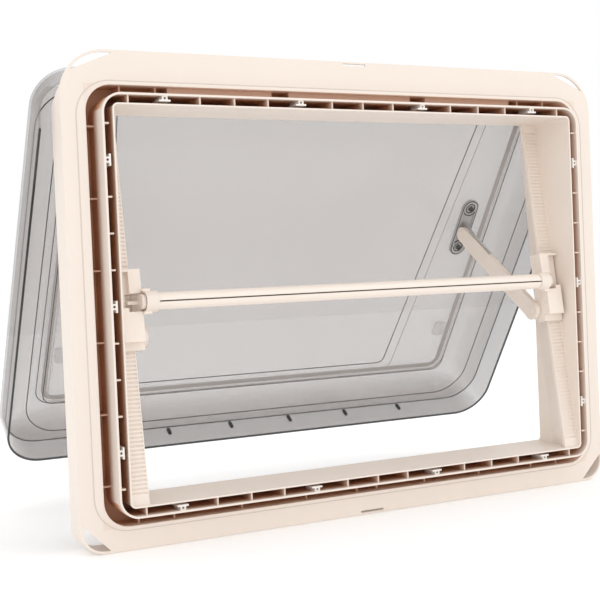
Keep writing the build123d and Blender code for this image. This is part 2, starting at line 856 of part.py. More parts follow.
with BuildPart() as slide_pivot_pin_right:
    with BuildSketch(Plane(origin=(arm_inner - head, slide_pivot.Y, slide_pivot.Z), z_dir=(1, 0, 0))):
        Circle(pivot_head_radius)
    extrude(amount=head)
    with BuildSketch(Plane(origin=(arm_inner, slide_pivot.Y, slide_pivot.Z), z_dir=(1, 0, 0))):
        Circle(pivot_radius)
    extrude(amount=arm_thick)
save(slide_pivot_pin_right, "slide_pivot_pin_right")

with BuildPart() as slide_pivot_pin_left:
    mirror(slide_pivot_pin_right.part, about=Plane.YZ)
save(slide_pivot_pin_left, "slide_pivot_pin_left")

# steel rods clipped to the arms' upper edges, near the sash

with BuildPart() as arm_rod_right:
    upper_edge = arm_plane(arm_inner + arm_thick / 2)
    rod_foot = upper_edge.from_local_coords((rod_start, arm_half_width + rod_radius, 0))
    with BuildSketch(Plane(origin=rod_foot, z_dir=arm_vector)):
        Circle(rod_radius)
    extrude(amount=rod_end - rod_start)
save(arm_rod_right, "arm_rod_right")

with BuildPart() as arm_rod_left:
    mirror(arm_rod_right.part, about=Plane.YZ)
save(arm_rod_left, "arm_rod_left")

# ---- push bar ------------------------------------------------------------------------


def bar_section(x):
    """Plane square to the bar at x, its origin on the bar's axis, local x outdoors."""
    return Plane(origin=(x, bar_depth, bar_height), x_dir=(0, 1, 0), z_dir=(1, 0, 0))


with BuildPart() as bar_tube:
    with BuildSketch(bar_section(0)):
        Circle(bar_radius)
        Circle(bar_radius - bar_wall, mode=Mode.SUBTRACT)
        with Locations((-bar_radius, 0)):
            Rectangle(3 * bar_wall, bar_slit, mode=Mode.SUBTRACT)
    extrude(amount=bar_half, both=True)
save(bar_tube, "bar_tube")

with BuildPart() as bar_collar_right:
    with BuildSketch(bar_section(collar_start)):
        Circle(collar_radius)
        Circle(bar_radius, mode=Mode.SUBTRACT)
    extrude(amount=collar_end - collar_start)
save(bar_collar_right, "bar_collar_right")

with BuildPart() as bar_collar_left:
    mirror(bar_collar_right.part, about=Plane.YZ)
save(bar_collar_left, "bar_collar_left")

with BuildPart() as bar_end_right:
    with BuildSketch(bar_section(bar_half - plug_depth)):
        Circle(bar_radius - bar_wall)
    extrude(amount=plug_depth)
    with BuildSketch(bar_section(bar_half)):
        Circle(journal_radius)
    extrude(amount=journal_end - bar_half)
save(bar_end_right, "bar_end_right")

with BuildPart() as bar_end_left:
    mirror(bar_end_right.part, about=Plane.YZ)
save(bar_end_left, "bar_end_left")

# ---- catches that the bar turns ------------------------------------------------------

bar_local = rail_plane.to_local_coords(Vector(0, bar_depth, bar_height))


def rail_side(x):
    """Plane square to the bar at x, local x along the rail, local y off its teeth."""
    origin = rail_plane.from_local_coords((x, bar_local.Y, bar_local.Z))
    return Plane(origin=origin, x_dir=rail_plane.y_dir, z_dir=(1, 0, 0))


with BuildPart() as catch_right:
    with BuildSketch(rail_side(collar_end)):
        Circle(catch_hub_radius)
        Circle(journal_radius, mode=Mode.SUBTRACT)
    extrude(amount=catch_hub_end - collar_end)
    bridge = bar_local.Z - catch_bridge
    with BuildSketch(rail_side(collar_end + side_gap)):
        with Locations((0, -(bridge + catch_root) / 2)):
            Rectangle(catch_width, bridge - catch_root)
    extrude(amount=catch_outer - collar_end - side_gap)
    with BuildSketch(rail_side(catch_inner)):
        finger = bar_local.Z - catch_clear
        with Locations((0, -(finger + bridge) / 2)):
            Rectangle(catch_width, finger - bridge)
    extrude(amount=catch_outer - catch_inner)
save(catch_right, "catch_right")

with BuildPart() as catch_left:
    mirror(catch_right.part, about=Plane.YZ)
save(catch_left, "catch_left")

# ---- slides --------------------------------------------------------------------------


def rail_block(x0, x1, y0, y1, z0, z1, mode=Mode.ADD):
    """Block in the rail's own directions: across, along and off the teeth."""
    with BuildSketch(rail_plane.offset(z0)) as footprint:
        with Locations(((x0 + x1) / 2, (y0 + y1) / 2)):
            Rectangle(x1 - x0, y1 - y0)
    extrude(footprint.sketch, amount=z1 - z0, mode=mode)


with BuildPart() as slide_right:
    rail_block(slide_inner, slide_outer, slide_low, slide_high, slide_gap, slide_floor)
    top = slide_column_height
    rail_block(slide_inner, slide_column_outer, housing_top, slide_high, slide_floor, top)
    edge = slide_high - slide_border
    rail_block(slide_column_outer, slide_outer, edge, slide_high, slide_floor, top)
    rail_block(housing_inner, housing_outer, housing_low, housing_top, slide_floor, housing_height)
    rail_block(slide_inner, slide_outer, slide_low, housing_low, slide_floor, foot_height)
    # room for the catch
    rail_block(
        slide_inner,
        catch_outer + side_gap,
        catch_pocket_low,
        catch_pocket_high,
        slide_gap,
        housing_height,
        Mode.SUBTRACT,
    )
    # saddle that the collar snaps into
    with BuildSketch(rail_side(saddle_inner)):
        Circle(collar_radius + running_gap + saddle_wall)
        Circle(collar_radius + running_gap, mode=Mode.SUBTRACT)
        with Locations((0, saddle_over + collar_radius)):
            Rectangle(4 * collar_radius, 2 * collar_radius, mode=Mode.SUBTRACT)
    extrude(amount=saddle_outer - saddle_inner)
save(slide_right, "slide_right")

with BuildPart() as slide_left:
    mirror(slide_right.part, about=Plane.YZ)
save(slide_left, "slide_left")

pivot_local = rail_plane.to_local_coords(slide_pivot)

with BuildPart() as guide_right:
    edge = rail_inner - side_gap
    seam = slide_gap - side_gap / 2
    rail_block(guide_inner, edge, slide_low, slide_high, -guide_depth, seam)
    tongue = -rail_lip - side_gap
    rail_block(edge - 1, edge + 2.5, slide_low, slide_high, tongue - guide_tongue, tongue)
    with BuildSketch(Plane(origin=(guide_inner, slide_pivot.Y, slide_pivot.Z), z_dir=(1, 0, 0))):
        Circle(ear_radius)
    extrude(amount=edge - guide_inner)
    with BuildSketch(Plane(origin=(guide_inner, slide_pivot.Y, slide_pivot.Z), z_dir=(1, 0, 0))):
        Circle(pivot_radius + running_gap)
    extrude(amount=edge - guide_inner, mode=Mode.SUBTRACT)
save(guide_right, "guide_right")

with BuildPart() as guide_left:
    mirror(guide_right.part, about=Plane.YZ)
save(guide_left, "guide_left")

print(f"arm length between pivots {arm_length:.1f}")
print(f"sash pivot {sash_pivot.Y:.1f} {sash_pivot.Z:.1f}")
print(f"rail angle {rail_angle:.2f}")
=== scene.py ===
import json
import math

import bpy
from mathutils import Matrix, Vector


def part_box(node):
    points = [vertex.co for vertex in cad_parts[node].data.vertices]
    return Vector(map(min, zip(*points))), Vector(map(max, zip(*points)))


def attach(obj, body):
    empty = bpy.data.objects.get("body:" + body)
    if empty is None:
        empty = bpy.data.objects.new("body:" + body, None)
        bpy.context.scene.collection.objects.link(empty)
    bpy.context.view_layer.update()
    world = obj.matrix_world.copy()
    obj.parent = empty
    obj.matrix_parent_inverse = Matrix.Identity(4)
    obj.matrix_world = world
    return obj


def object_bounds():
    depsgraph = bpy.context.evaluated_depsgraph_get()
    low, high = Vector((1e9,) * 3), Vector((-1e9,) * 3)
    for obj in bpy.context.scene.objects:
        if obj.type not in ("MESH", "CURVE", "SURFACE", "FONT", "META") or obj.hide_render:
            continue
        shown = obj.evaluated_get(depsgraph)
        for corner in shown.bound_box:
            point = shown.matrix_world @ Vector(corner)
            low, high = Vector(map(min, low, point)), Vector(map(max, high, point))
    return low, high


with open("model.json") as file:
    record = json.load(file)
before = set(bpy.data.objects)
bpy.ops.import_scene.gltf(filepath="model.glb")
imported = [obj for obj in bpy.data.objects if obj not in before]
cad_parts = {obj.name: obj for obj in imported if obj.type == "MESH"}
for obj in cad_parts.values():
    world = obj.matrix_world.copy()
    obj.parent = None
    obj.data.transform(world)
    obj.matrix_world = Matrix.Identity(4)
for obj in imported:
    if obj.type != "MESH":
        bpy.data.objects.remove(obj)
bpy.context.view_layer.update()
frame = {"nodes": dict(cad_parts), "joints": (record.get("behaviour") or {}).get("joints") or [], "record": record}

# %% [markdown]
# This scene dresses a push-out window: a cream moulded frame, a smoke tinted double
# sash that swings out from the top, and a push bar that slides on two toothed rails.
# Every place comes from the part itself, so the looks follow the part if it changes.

record = frame["record"]
nodes = frame["nodes"]
scene = bpy.context.scene

# %% [markdown]
# The hinge is read from the record.  Its lower limit is the shut sash, so turning a
# shut-sash point by the opposite of that limit gives its place on the open sash.

# %% The hinge and a shut-sash coordinate frame
hinge = next(j for j in frame["joints"] if j["name"] == "sash_hinge")
hinge_at = Vector(hinge["pos_m"])
opened = math.radians(-hinge["range_deg"][0])
swing = Matrix.Rotation(opened, 4, "X")
turn = Matrix.Translation(hinge_at) @ swing @ Matrix.Translation(-hinge_at)
upright = Matrix.Rotation(math.radians(90), 4, "X")


def sash_place(x, depth, height):
    """Matrix that lays a flat XY piece in the sash: its X across, its Y up the sash."""
    return turn @ Matrix.Translation((x, depth, height)) @ upright


def frame_place(x, depth, height):
    """The same for the frame, which doesn't turn."""
    return Matrix.Translation((x, depth, height)) @ upright


print("sash open by", round(math.degrees(opened), 1), "degrees")

# %% [markdown]
# Shader sums are written as sums.  Wire wraps one socket of a node tree, so that noise
# can be scaled, added and mixed with the usual signs; `node` adds any other node.


# %% A small wrapper for shader sockets
class Wire:
    """One output socket that can be used in arithmetic."""

    def __init__(self, tree, out):
        self.tree = tree
        self.out = out

    def _sum(self, operation, first, second):
        node = self.tree.nodes.new("ShaderNodeMath")
        node.operation = operation
        for socket, value in zip(node.inputs, (first, second)):
            if isinstance(value, Wire):
                self.tree.links.new(value.out, socket)
            else:
                socket.default_value = value
        return Wire(self.tree, node.outputs[0])

    def __add__(self, other):
        return self._sum("ADD", self, other)

    def __radd__(self, other):
        return self._sum("ADD", other, self)

    def __sub__(self, other):
        return self._sum("SUBTRACT", self, other)

    def __rsub__(self, other):
        return self._sum("SUBTRACT", other, self)

    def __mul__(self, other):
        return self._sum("MULTIPLY", self, other)

    def __rmul__(self, other):
        return self._sum("MULTIPLY", other, self)

    def __truediv__(self, other):
        return self._sum("DIVIDE", self, other)

    def __pow__(self, other):
        return self._sum("POWER", self, other)

    def node(self, kind, into, output=0, inputs=None, **settings):
        """A new node of a kind, fed with this wire; gives back one of its outputs."""
        node = self.tree.nodes.new(kind)
        for name, value in settings.items():
            setattr(node, name, value)
        for name, value in (inputs or {}).items():
            if isinstance(value, Wire):
                self.tree.links.new(value.out, node.inputs[name])
            else:
                node.inputs[name].default_value = value
        self.tree.links.new(self.out, node.inputs[into])
        return Wire(self.tree, node.outputs[output])


def new_material(name, colour, roughness, **constants):
    """A Principled material with its constants set, and its object coordinates."""
    material = bpy.data.materials.new(name)
    material.use_nodes = True
    material.diffuse_color = (*colour, 1.0)
    tree = material.node_tree
    shader = tree.nodes["Principled BSDF"]
    shader.inputs["Base Color"].default_value = (*colour, 1.0)
    shader.inputs["Roughness"].default_value = roughness
    for socket, value in constants.items():
        shader.inputs[socket.replace("_", " ")].default_value = value
    coords = tree.nodes.new("ShaderNodeTexCoord")
    return material, shader, Wire(tree, coords.outputs["Object"])


def noise(coords, scale, detail=3.0, stretch=(1.0, 1.0, 1.0)):
    """Soft noise from 0 to 1; stretch pulls it out along an axis."""
    placed = coords.node("ShaderNodeMapping", "Vector", inputs={"Scale": stretch})
    return placed.node("ShaderNodeTexNoise", "Vector", inputs={"Scale": scale, "Detail": detail})


def feed(wire, shader, socket):
    """Joins a wire to a socket of the shader."""
    wire.tree.links.new(wire.out, shader.inputs[socket])


def tint(amount, low, high):
    """A colour between two, by an amount from 0 to 1."""
    mixed = amount.node("ShaderNodeMix", 0, output=2, data_type="RGBA")
    node = mixed.out.node
    node.inputs[6].default_value = (*low, 1.0)
    node.inputs[7].default_value = (*high, 1.0)
    return mixed


def bump(height, shader, strength, distance):
    """Raises the surface by a height, in metres at full strength."""
    settings = {"Strength": strength, "Distance": distance}
    lifted = height.node("ShaderNodeBump", "Height", inputs=settings)
    feed(lifted, shader, "Normal")


def shade(colour, factor):
    """A colour made lighter or darker."""
    return tuple(min(1.0, c * factor) for c in colour)


# %% [markdown]
# Most pieces are injection moulded.  Such a surface is one colour with very faint
# clouds, a fine spark-eroded grain and a gloss that wanders a little.  Two noises of
# different size, one for the clouds and one for the grain, give all three.


# %% Moulded plastics
def moulded(name, colour, roughness, grain=900.0, depth=0.00006, clouds=0.03):
    material, shader, coords = new_material(name, colour, roughness, Specular_IOR_Level=0.45)
    cloud = noise(coords, 7.0, 2.0)
    flow = noise(coords, 30.0, 3.0, (1.0, 1.0, 0.15))
    fine = noise(coords, grain, 2.0)
    both = cloud * 0.6 + flow * 0.4
    feed(tint(both, shade(colour, 1 - clouds), shade(colour, 1 + clouds)), shader, "Base Color")
    feed(cloud * 0.12 + fine * 0.10 + (roughness - 0.11), shader, "Roughness")
    bump(fine, shader, 0.35, depth)
    return material


cream = (0.862, 0.766, 0.684)
shallow = 0.00003  # height of a fine grain, in metres
polished = 0.00001
looks = {
    "clip_plastic": moulded("clip white", (0.88, 0.84, 0.79), 0.40, grain=1400.0),
    "slide_plastic": moulded("slide cream", shade(cream, 1.02), 0.36, 1500.0, shallow),
    "arm_plastic": moulded("arm cream", shade(cream, 0.98), 0.34, 1300.0, shallow),
    "collar_plastic": moulded("collar cream", shade(cream, 0.97), 0.33, 1500.0, shallow),
    "catch_plastic": moulded("catch cream", shade(cream, 0.94), 0.45),
    "plug_plastic": moulded("plug dark", (0.055, 0.050, 0.048), 0.55),
}
print("moulded finishes", len(looks))

# %% [markdown]
# The frame has two deep, narrow channels round the opening.  Light that gets into them
# bounces many times off warm plastic and comes out brown, which few bounces can't show.
# So that shade is painted: the colour deepens with depth, but only within the channels' outline.


# %% The frame's finish, with painted shade browner down in its channels
def ramp(wire, start, end):
    """0 before start, 1 after end, straight between."""
    limits = {"From Min": start, "From Max": end}
    return wire.node("ShaderNodeMapRange", "Value", inputs=limits)


def size_of(wire):
    """The value without its sign."""
    return wire.node("ShaderNodeMath", 0, operation="ABSOLUTE")


def beyond(across, height, half_width, half_height):
    """1 outside a rectangle about the middle, 0 inside it."""
    wide = ramp(size_of(across), half_width - 0.0002, half_width + 0.0002)
    tall = ramp(size_of(height), half_height - 0.0002, half_height + 0.0002)
    return wide.node("ShaderNodeMath", 0, operation="MAXIMUM", inputs={1: tall})


def channelled(name, colour, deep, roughness, outer, wall, liner, floor_depth):
    material, shader, coords = new_material(name, colour, roughness, Specular_IOR_Level=0.45)
    split = coords.node("ShaderNodeSeparateXYZ", 0)
    across = Wire(split.tree, split.out.node.outputs["X"])
    depth = Wire(split.tree, split.out.node.outputs["Y"])
    height = Wire(split.tree, split.out.node.outputs["Z"])
    in_outer = 1.0 - beyond(across, height, *outer)
    in_inner = 1.0 - beyond(across, height, *wall)
    past_liner = beyond(across, height, *liner)
    behind = 1.0 - ramp(depth, floor_depth, floor_depth + 0.0008)
    far = ramp(depth, -0.003, 0.020) * in_outer
    near = ramp(depth, -0.0215, -0.006) * in_inner
    either = far.node("ShaderNodeMath", 0, operation="MAXIMUM", inputs={1: near})
    # painted shade: the colour turns brown with depth inside the channels
    painted_channel_shade = either * past_liner * behind
    cloud = noise(coords, 7.0, 2.0)
    flow = noise(coords, 30.0, 3.0, (1.0, 1.0, 0.15))
    fine = noise(coords, 900.0, 2.0)
    face = tint(cloud * 0.6 + flow * 0.4, shade(colour, 0.97), shade(colour, 1.03))
    mixed = painted_channel_shade.node("ShaderNodeMix", 0, output=2, data_type="RGBA")
    mixed.tree.links.new(face.out, mixed.out.node.inputs[6])
    mixed.out.node.inputs[7].default_value = (*deep, 1.0)
    feed(mixed, shader, "Base Color")
    feed(cloud * 0.12 + fine * 0.10 + (roughness - 0.11), shader, "Roughness")
    bump(fine, shader, 0.3, 0.00005)
    return material


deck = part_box("outer_frame")
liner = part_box("inner_liner")
# half sizes, across and up: outside the liner, inside the channel wall and its neighbour
liner_half = tuple((liner[1][axis] - liner[0][axis]) / 2 - 0.0014 for axis in (0, 2))
wall_half = (liner_half[0] + 0.0136, liner_half[1] + 0.0126)
outer_half = (liner_half[0] + 0.0286, liner_half[1] + 0.0266)
# painted shade: the frame turns brown down in its channels
looks["frame_plastic"] = channelled(
    "frame cream, painted channel shade", cream, (0.62, 0.32, 0.18), 0.42, outer_half, wall_half, liner_half, 0.0372
)
print("frame box", deck)

# %% [markdown]
# The two skins of the sash are thermoformed acrylic.  Cast sheet is clear and very
# smooth, but it is slightly wavy where it was drawn down.  Alpha lets the backdrop
# through, with painted shade as more body on the sash's sides and foot.


# %% Acrylic skins
def in_sash(coords):
    """Coordinates of the shut sash, so that a band stays along its edge."""
    back = turn.inverted()
    placed = coords.node("ShaderNodeMapping", "Vector")
    placed.out.node.inputs["Rotation"].default_value = back.to_euler("XYZ")
    placed.out.node.inputs["Location"].default_value = back.to_translation()
    split = placed.node("ShaderNodeSeparateXYZ", 0)
    return tuple(Wire(split.tree, split.out.node.outputs[axis]) for axis in "XYZ")


def acrylic(name, colour, alpha, edge_depth, rim_shade_alpha, side_shade_alpha):
    """Clear sheet: more body on the sash's sides and foot as painted shade, and a painted dark line at its cut
    edge.
    """
    material, shader, coords = new_material(
        name, colour, 0.05, IOR=1.49, Specular_IOR_Level=0.5
    )
    across, depth, height = in_sash(coords)
    broad = noise(coords, 2.2, 1.0)
    drawn = noise(coords, 5.0, 1.0)
    wipe = noise(coords, 60.0, 4.0, (0.3, 1.0, 1.0))
    # painted shade: the sash's sides and foot are made more opaque, so darker
    side = ramp(size_of(across), 0.375, 0.404)
    foot = ramp(0.0 - height, 0.262, 0.292)
    side_and_foot_shade = (side * 0.45).node("ShaderNodeMath", 0, operation="MAXIMUM", inputs={1: foot})
    # painted shade: a dark, more opaque line along the sheet's cut edge
    edge = 1.0 - ramp(depth, edge_depth, edge_depth + 0.0006)
    body = broad * 0.06 + (alpha - 0.03) + side_and_foot_shade * side_shade_alpha
    strong = body.node("ShaderNodeMath", 0, operation="MAXIMUM", inputs={1: edge * rim_shade_alpha})
    darker = edge.node("ShaderNodeMix", 0, output=2, data_type="RGBA")
    toned = tint(broad, shade(colour, 0.93), shade(colour, 1.07))
    darker.tree.links.new(toned.out, darker.out.node.inputs[6])
    darker.out.node.inputs[7].default_value = (0.03, 0.03, 0.03, 1.0)
    feed(darker, shader, "Base Color")
    feed(wipe * 0.05 + 0.04, shader, "Roughness")
    feed(strong, shader, "Alpha")
    bump(drawn, shader, 0.02, 0.0004)
    material.surface_render_method = "BLENDED"
    return material


looks["outer_acrylic"] = acrylic("outer acrylic", (0.27, 0.235, 0.22), 0.22, 0.0062, 0.95, 0.28)
looks["inner_acrylic"] = acrylic("inner acrylic", (0.52, 0.46, 0.43), 0.20, 0.0, 0.5, 0.0)
# painted shade and highlight: dark lines, pale bands and glints that stand for light along bends and edges
looks["painted_dark_line"] = moulded("painted dark line", (0.085, 0.080, 0.080), 0.25, 1200.0, polished)
looks["painted_pale_band"] = moulded("painted pale band", (0.57, 0.545, 0.53), 0.2, 1200.0, polished)
looks["frame_shadow"] = moulded("landing step painted shade", shade(cream, 0.80), 0.45)
looks["edge_light"] = moulded("acrylic glint", (0.62, 0.60, 0.59), 0.2, 1200.0, polished)
looks["bracket_plastic"] = moulded("bracket grey", (0.42, 0.41, 0.41), 0.14, 1500.0, polished)

# %% [markdown]
# The bar is a rolled steel tube with a sprayed coat: the coat has a faint orange peel
# and hides the metal.  Pins and screws are turned or headed steel with fine marks that
# run round or along them; the hinge is drawn aluminium with marks along its length.


# %% Coated tube, steel, aluminium and rubber
def coated(name, colour, roughness):
    material, shader, coords = new_material(
        name, colour, roughness, Coat_Weight=0.25, Coat_Roughness=0.2
    )
    peel = noise(coords, 420.0, 2.0)
    cloud = noise(coords, 12.0, 2.0, (0.2, 1.0, 1.0))
    feed(tint(cloud, shade(colour, 0.97), shade(colour, 1.03)), shader, "Base Color")
    feed(peel * 0.08 + (roughness - 0.04), shader, "Roughness")
    bump(peel, shader, 0.3, 0.00008)
    return material


def drawn_metal(name, colour, roughness, stretch):
    material, shader, coords = new_material(name, colour, roughness, Metallic=1.0)
    marks = noise(coords, 800.0, 4.0, stretch)
    patch = noise(coords, 25.0, 2.0)
    feed(tint(patch, shade(colour, 0.85), shade(colour, 1.1)), shader, "Base Color")
    feed(marks * 0.22 + (roughness - 0.08), shader, "Roughness")
    bump(marks, shader, 0.2, 0.00004)
    return material


def soft_rubber(name, colour):
    material, shader, coords = new_material(name, colour, 0.7, Specular_IOR_Level=0.3)
    skin = noise(coords, 600.0, 4.0)
    bloom = noise(coords, 18.0, 3.0)
    feed(tint(bloom, colour, shade(colour, 1.7)), shader, "Base Color")
    feed(bloom * 0.15 + 0.6, shader, "Roughness")
    bump(skin, shader, 0.4, 0.00010)
    return material


looks["bar_coated"] = coated("bar coat", shade(cream, 1.03), 0.32)
looks["pin_steel"] = drawn_metal("pin steel", (0.56, 0.55, 0.53), 0.30, (1.0, 1.0, 0.1))
looks["hinge_aluminium"] = drawn_metal(
    "hinge aluminium", (0.66, 0.65, 0.63), 0.36, (0.05, 1.0, 1.0)
)
looks["seal_rubber"] = soft_rubber("seal rubber", (0.020, 0.019, 0.019))

# %% [markdown]
# Each node of the part takes the finish of its own slot, so that the record and the
# scene agree about what is made of what.

# %% Finishes on the part's nodes
for entry in record["subparts"]:
    piece = nodes[entry["node"]]
    piece.data.materials.clear()
    piece.data.materials.append(looks[entry["material_slot"]])
print("dressed", len(record["subparts"]), "nodes")

# %% [markdown]
# Moulded edges are never sharp.  A narrow bevel on the blocky pieces catches the light
# along their edges; it is a modifier, so the part's own mesh stays as it is.

# %% Soft edges on the blocky pieces
softened = [kind + hand for kind in ("slide", "arm", "bracket") for hand in ("_left", "_right")]
soft_edge_width = 0.0009
for name in softened:
    bevel = nodes[name].modifiers.new("soft edge", "BEVEL")
    bevel.width = soft_edge_width
    bevel.segments = 2
    bevel.limit_method = "ANGLE"
    bevel.angle_limit = math.radians(40)
print("softened", len(softened))

# %% [markdown]
# Things that repeat or follow a path are grown by node trees.  One tree sweeps a round
# section along a rounded outline whose foot and top may differ in width: the painted
# lines of shade and light along the bends of the sash and the landing of the frame are
# made by it.  The other puts rings on every point of a grid: painted dark and light
# rings for the turned rings round the bracket screws.


# %% Node tree helpers
def start_tree(name, inputs):
    """An empty geometry tree with named inputs and one output."""
    tree = bpy.data.node_groups.new(name, "GeometryNodeTree")
    for label, kind, value in inputs:
        socket = tree.interface.new_socket(label, in_out="INPUT", socket_type=kind)
        socket.default_value = value
    tree.interface.new_socket("Geometry", in_out="OUTPUT", socket_type="NodeSocketGeometry")
    return tree, tree.nodes.new("NodeGroupInput"), tree.nodes.new("NodeGroupOutput")


def end_tree(tree, geometry, source, result):
    """Real geometry with the material set, joined to the output."""
    real = tree.nodes.new("GeometryNodeRealizeInstances")
    paint = tree.nodes.new("GeometryNodeSetMaterial")
    tree.links.new(geometry, real.inputs[0])
    tree.links.new(real.outputs[0], paint.inputs["Geometry"])
    tree.links.new(source.outputs["Material"], paint.inputs["Material"])
    tree.links.new(paint.outputs[0], result.inputs[0])


def grown(name, tree, values, place, body, finish):
    """Runs a tree once and keeps what it made as a plain mesh that rides a body."""
    values = {**values, "Material": looks[finish]}
    carrier = bpy.data.objects.new("carrier", bpy.data.meshes.new("carrier"))
    scene.collection.objects.link(carrier)
    modifier = carrier.modifiers.new("grow", "NODES")
    modifier.node_group = tree
    for item in tree.interface.items_tree:
        if item.in_out == "INPUT" and item.name in values:
            modifier[item.identifier] = values[item.name]
    bpy.context.view_layer.update()
    ready = carrier.evaluated_get(bpy.context.evaluated_depsgraph_get())
    mesh = bpy.data.meshes.new_from_object(ready)
    bpy.data.objects.remove(carrier)
    mesh.transform(place)
    mesh.name = name
    piece = bpy.data.objects.new(name, mesh)
    scene.collection.objects.link(piece)
    for polygon in mesh.polygons:
        polygon.use_smooth = True
    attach(piece, body)
    print(name, "faces", len(mesh.polygons))
    return piece


# %% A round section swept along a rounded outline
sweep, given, result = start_tree(
    "sweep",
    [
        ("Foot Width", "NodeSocketFloat", 0.6),
        ("Top Width", "NodeSocketFloat", 0.6),
        ("Height", "NodeSocketFloat", 0.4),
        ("Corner", "NodeSocketFloat", 0.02),
        ("Section", "NodeSocketFloat", 0.002),
        ("Flatten", "NodeSocketFloat", 1.0),
    ],
)
sweep.interface.new_socket("Material", in_out="INPUT", socket_type="NodeSocketMaterial")
outline = sweep.nodes.new("GeometryNodeCurvePrimitiveQuadrilateral")
outline.mode = "TRAPEZOID"
outline.inputs["Offset"].default_value = 0.0
turned = sweep.nodes.new("GeometryNodeFilletCurve")
ring = sweep.nodes.new("GeometryNodeCurvePrimitiveCircle")
squash = sweep.nodes.new("GeometryNodeTransform")
scales = sweep.nodes.new("ShaderNodeCombineXYZ")
skin = sweep.nodes.new("GeometryNodeCurveToMesh")
turned.inputs["Limit Radius"].default_value = True
turned.mode = "POLY"
turned.inputs["Count"].default_value = 10
ring.inputs["Resolution"].default_value = 12
sweep.links.new(given.outputs["Foot Width"], outline.inputs["Bottom Width"])
sweep.links.new(given.outputs["Top Width"], outline.inputs["Top Width"])
sweep.links.new(given.outputs["Height"], outline.inputs["Height"])
sweep.links.new(outline.outputs[0], turned.inputs["Curve"])
sweep.links.new(given.outputs["Corner"], turned.inputs["Radius"])
sweep.links.new(given.outputs["Section"], ring.inputs["Radius"])
scales.inputs["X"].default_value = 1.0
scales.inputs["Z"].default_value = 1.0
sweep.links.new(given.outputs["Flatten"], scales.inputs["Y"])
sweep.links.new(ring.outputs[0], squash.inputs["Geometry"])
sweep.links.new(scales.outputs[0], squash.inputs["Scale"])
sweep.links.new(turned.outputs[0], skin.inputs["Curve"])
sweep.links.new(squash.outputs[0], skin.inputs["Profile Curve"])
end_tree(sweep, skin.outputs[0], given, result)

# %% [markdown]
# Where acrylic sheet turns sharply, the light runs along inside it and the bend shows
# as a thin dark line, with a paler one beside it.  That shade and highlight are painted:
# the bends of the inner pane and of the dome's crown get very thin swept rounds that
# lie on the sheet, in dark and pale colours.

# %% Painted dark lines and highlights along the bends of the sash
bends = [
    ("pane_foot_line", 0.749, 0.749, 0.532, 0.050, 0.0420, -0.0085, 0.0007, 0.8, "painted_dark_line"),
    ("ledge_line", 0.688, 0.688, 0.491, 0.018, 0.0704, -0.0015, 0.0006, 0.3, "painted_dark_line"),
    ("ledge_glint", 0.674, 0.674, 0.477, 0.011, 0.0704, -0.0015, 0.0006, 0.3, "edge_light"),
    ("plateau_line", 0.704, 0.704, 0.499, 0.024, 0.0800, -0.0035, 0.0006, 0.8, "painted_dark_line"),
    ("flange_edge_line", 0.804, 0.804, 0.547, 0.048, 0.0418, -0.0165, 0.0008, 0.8, "painted_dark_line"),
    ("plateau_highlight_band", 0.6815, 0.6815, 0.484, 0.016, 0.0803, -0.0015, 0.0040, 0.08, "painted_pale_band"),
    ("crown_glint", 0.512, 0.596, 0.492, 0.016, 0.0925, -0.0070, 0.0007, 0.8, "painted_pale_band"),
    ("crown_line", 0.486, 0.570, 0.474, 0.012, 0.0972, -0.0070, 0.0009, 0.8, "painted_dark_line"),
]
for name, foot, top, height, corner, depth, middle, section, flat, finish in bends:
    values = {"Foot Width": foot, "Top Width": top, "Height": height, "Corner": corner}
    values.update({"Section": section, "Flatten": flat})
    grown(name, sweep, values, sash_place(0, depth, middle), "sash", finish)

bracket_spread = 0.608  # between the two brackets
bracket_pitch = 0.070  # between the two screws of one bracket
bracket_width = 0.028
bracket_middle = 0.031
bracket_face = 0.0754
# painted shade and highlight: a dark line and a glint round each bracket's outline
slot_lines = (("edge", 0.0010, "painted_dark_line"), ("glint", 0.0028, "edge_light"))
for side, hand in ((-1, "left"), (1, "right")):
    for label, inset, finish in slot_lines:
        slot_width = bracket_width - 2 * inset
        slot_height = bracket_width + bracket_pitch - 2 * inset
        values = {"Foot Width": slot_width, "Top Width": slot_width, "Height": slot_height}
        values.update({"Corner": slot_width / 2 - 0.0001, "Section": 0.0006, "Flatten": 0.8})
        place = sash_place(side * bracket_spread / 2, bracket_face, bracket_middle)
        name = "bracket_" + label + "_" + hand
        grown(name, sweep, values, place, "sash", finish)

# %% [markdown]
# The flange's landing has a low step round it, which shows as one thin line of shade,
# painted in a darker cream.  The two brackets have turned rings round each screw, shown
# by painted dark and light rings; the grid tree sets them all at once.

# %% The landing's step, as a painted shade line
landing_inset = (0.036, 0.060)  # the flange is larger than its landing by this much
landing_depth = -0.0001
landing_width = deck[1][0] - deck[0][0] - landing_inset[0]
landing = {"Foot Width": landing_width, "Top Width": landing_width}
landing.update({"Height": deck[1][2] - deck[0][2] - landing_inset[1]})
landing.update({"Corner": 0.042, "Section": 0.0007, "Flatten": 0.7})
landing_place = frame_place(0, landing_depth, 0.0)
grown("landing_line", sweep, landing, landing_place, "frame", "frame_shadow")

